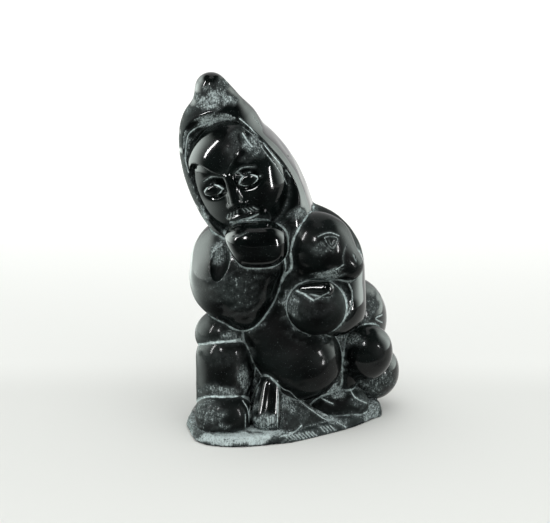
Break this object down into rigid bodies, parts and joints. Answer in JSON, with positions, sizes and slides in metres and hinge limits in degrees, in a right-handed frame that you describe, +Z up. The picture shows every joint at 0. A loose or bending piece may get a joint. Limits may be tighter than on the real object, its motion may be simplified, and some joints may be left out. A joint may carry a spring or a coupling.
{
  "type": "carved stone figure",
  "caption": "Dark polished stone carving of a hooded, squatting figure that hugs an animal, on a low base cut from the same block. Stands on a shelf or table.",
  "frame": {"origin": "on the flat underside of the base, near its middle, under the hugged animal's body", "axes": "+Z up, out of the base through the hood; the figure faces -Y, toward the viewer; +X to the viewer's right"},
  "size_m": [0.126, 0.0896, 0.2008],
  "materials": {
    "stone": "near-black stone with a slight green tint, polished on every swelling form and left pale, dry and dusty in the creases and cuts"
  },
  "bodies": {
    "root": {"stone_carving": "stone"}
  },
  "joints": []
}
